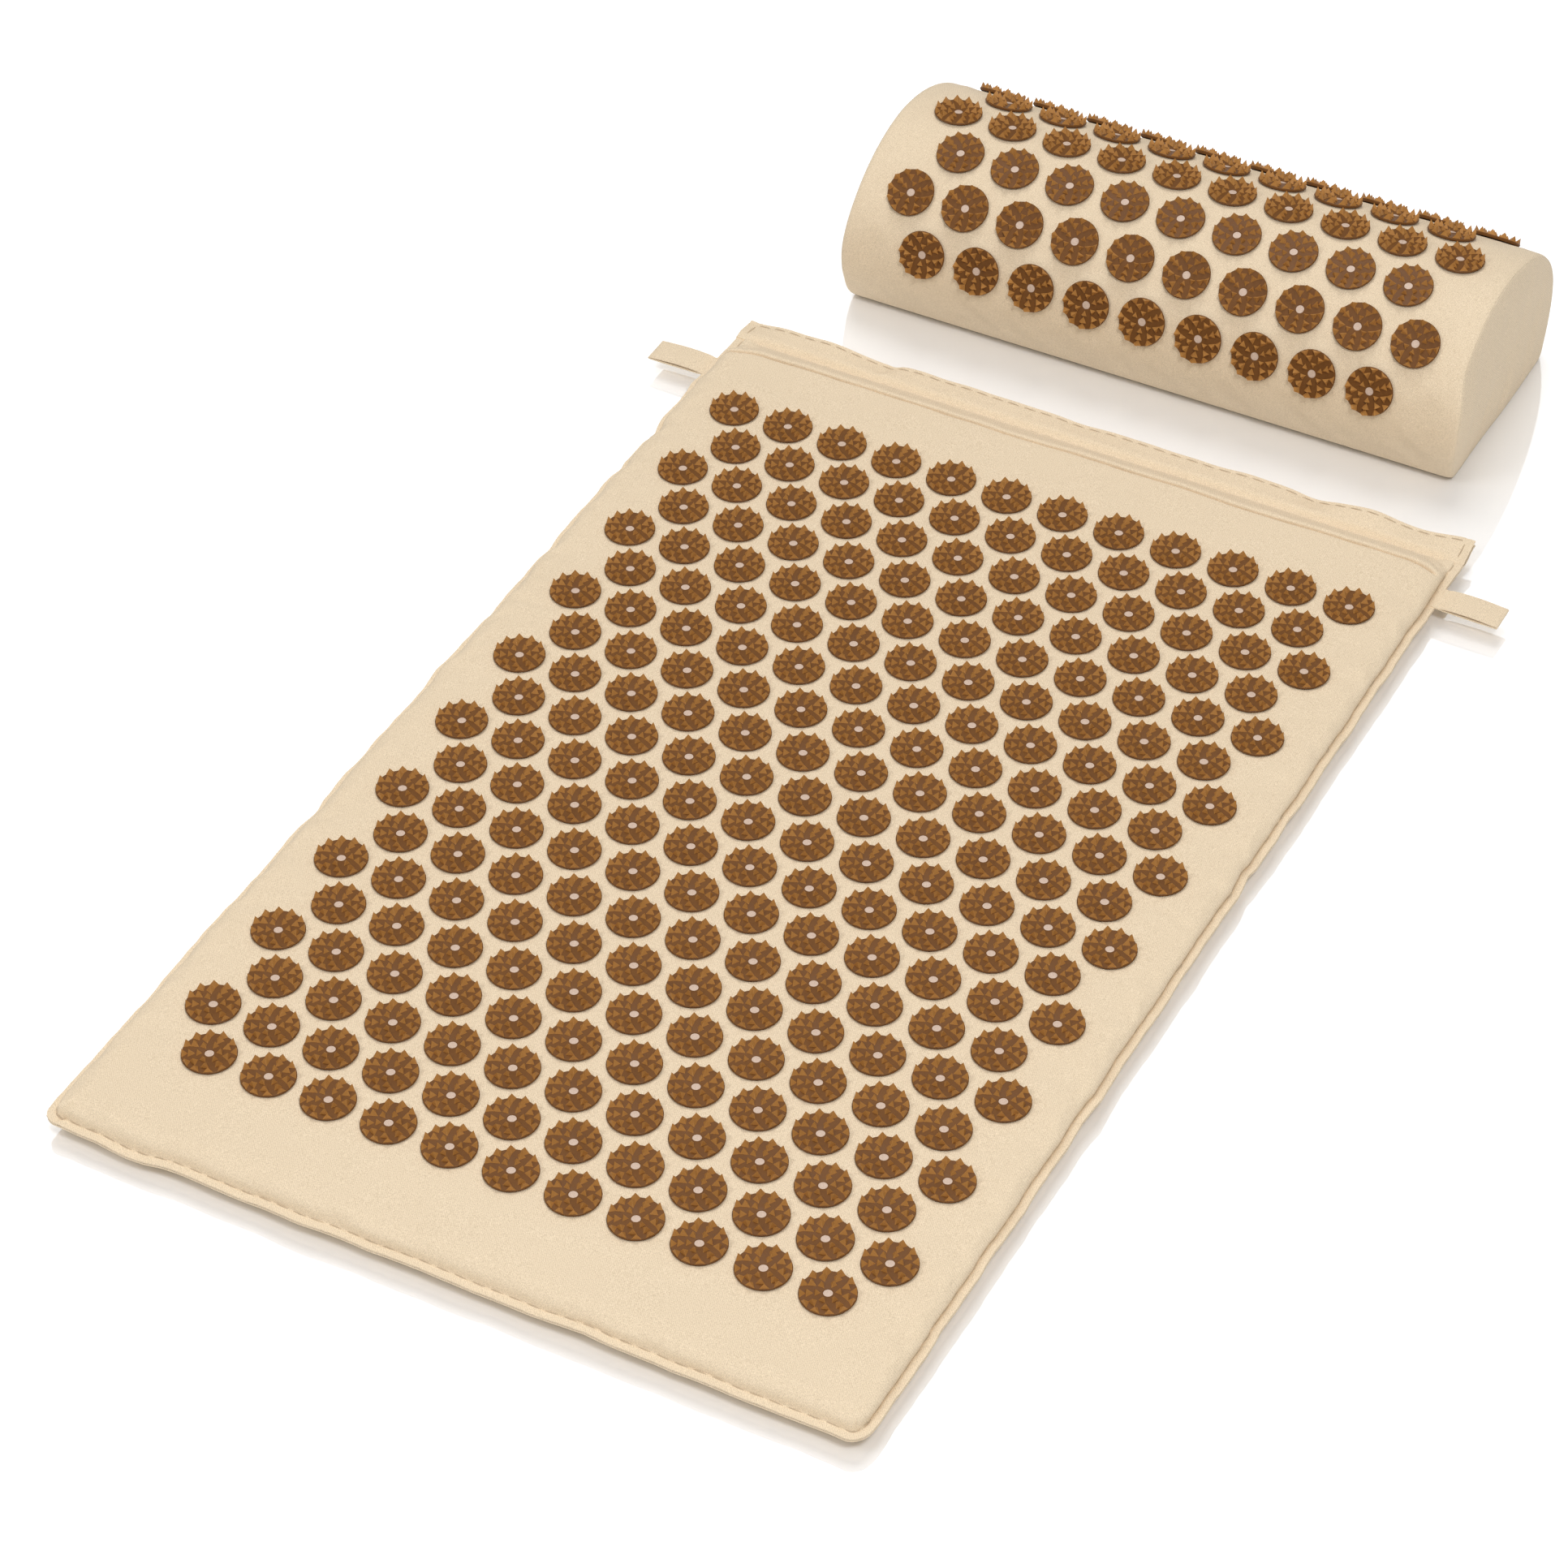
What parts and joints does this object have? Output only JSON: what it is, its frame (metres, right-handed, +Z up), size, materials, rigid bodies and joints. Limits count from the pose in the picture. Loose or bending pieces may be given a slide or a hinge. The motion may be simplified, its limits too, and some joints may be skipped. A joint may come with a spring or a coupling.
{
  "type": "acupressure mat set",
  "caption": "Fabric-covered foam mat with staggered round spike discs, a flat head flap and two side tabs, and a matching half-round neck pillow.",
  "frame": {"origin": "centre of the mat's underside, on the floor", "axes": "+Z up, +Y along the mat towards its head flap and the pillow, +X across the mat to the right"},
  "size_m": [0.49, 0.8812, 0.0984],
  "materials": {
    "cover_fabric": "fine beige linen-cotton weave, matt",
    "foam": "open-cell foam, matt",
    "disc_plastic": "moulded brown plastic, satin",
    "fastening_tape": "woven hook-and-loop tape",
    "zip_tape": "fine woven tape",
    "zip_coil": "nylon coil",
    "zip_metal": "plated, satin"
  },
  "bodies": {
    "mat_head_half": {"mat_top_cover_head_half": "cover_fabric", "mat_bottom_cover_head_half": "cover_fabric", "mat_foam_head_half": "foam", "mat_disc_row_01": "disc_plastic", "mat_disc_row_02": "disc_plastic", "mat_disc_row_03": "disc_plastic", "mat_disc_row_04": "disc_plastic", "mat_disc_row_05": "disc_plastic", "mat_disc_row_06": "disc_plastic", "mat_disc_row_07": "disc_plastic", "mat_disc_row_08": "disc_plastic", "mat_disc_row_09": "disc_plastic", "mat_disc_row_10": "disc_plastic"},
    "mat_foot_half": {"mat_top_cover_foot_half": "cover_fabric", "mat_bottom_cover_foot_half": "cover_fabric", "mat_foam_foot_half": "foam", "mat_disc_row_11": "disc_plastic", "mat_disc_row_12": "disc_plastic", "mat_disc_row_13": "disc_plastic", "mat_disc_row_14": "disc_plastic", "mat_disc_row_15": "disc_plastic", "mat_disc_row_16": "disc_plastic", "mat_disc_row_17": "disc_plastic", "mat_disc_row_18": "disc_plastic", "mat_disc_row_19": "disc_plastic", "mat_disc_row_20": "disc_plastic"},
    "head_flap": {"mouth_upper_lip": "cover_fabric", "mouth_lower_lip": "cover_fabric", "mouth_hook_tape": "fastening_tape", "mouth_loop_tape": "fastening_tape"},
    "left_tab": {"left_tab": "cover_fabric"},
    "right_tab": {"right_tab": "cover_fabric"},
    "pillow": {"pillow_foam": "foam", "pillow_sleeve": "cover_fabric", "pillow_base_panel": "cover_fabric", "pillow_left_end_panel": "cover_fabric", "pillow_right_end_panel": "cover_fabric", "pillow_zip_lower_tape": "zip_tape", "pillow_zip_upper_tape": "zip_tape", "pillow_zip_lower_coil": "zip_coil", "pillow_zip_upper_coil": "zip_coil", "pillow_disc_row_1": "disc_plastic", "pillow_disc_row_2": "disc_plastic", "pillow_disc_row_3": "disc_plastic", "pillow_disc_row_4": "disc_plastic", "pillow_disc_row_5": "disc_plastic", "pillow_disc_row_6": "disc_plastic", "pillow_disc_row_7": "disc_plastic"},
    "zip_slider": {"pillow_zip_slider": "zip_metal"},
    "zip_pull": {"pillow_zip_pull": "zip_metal"}
  },
  "joints": [
    {"name": "mat_fold", "type": "hinge", "parent": "mat_head_half", "child": "mat_foot_half", "pos_m": [0, -0.0101, 0.0227], "axis": [-1, 0, 0], "range_deg": [0, 180]},
    {"name": "head_flap_bend", "type": "hinge", "parent": "mat_head_half", "child": "head_flap", "pos_m": [0, 0.32515, 0.0116], "axis": [1, 0, 0], "range_deg": [0, 80]},
    {"name": "right_tab_bend", "type": "hinge", "parent": "mat_head_half", "child": "right_tab", "pos_m": [0.21115, 0.2956, 0.0107], "axis": [0, -1, 0], "range_deg": [0, 90]},
    {"name": "left_tab_bend", "type": "hinge", "parent": "mat_head_half", "child": "left_tab", "pos_m": [-0.21115, 0.2956, 0.0107], "axis": [0, 1, 0], "range_deg": [0, 90]},
    {"name": "pillow_lift", "type": "slide", "parent": "mat_head_half", "child": "pillow", "axis": [0, 0, 1], "range_m": [0, 0.12]},
    {"name": "zip_slide", "type": "slide", "parent": "pillow", "child": "zip_slider", "axis": [1, 0, 0], "range_m": [0, 0.324]},
    {"name": "zip_pull_swing", "type": "hinge", "parent": "zip_slider", "child": "zip_pull", "pos_m": [-0.162, 0.5307, 0.01323], "axis": [0, 0.3335, 0.9427], "range_deg": [0, 180]}
  ]
}
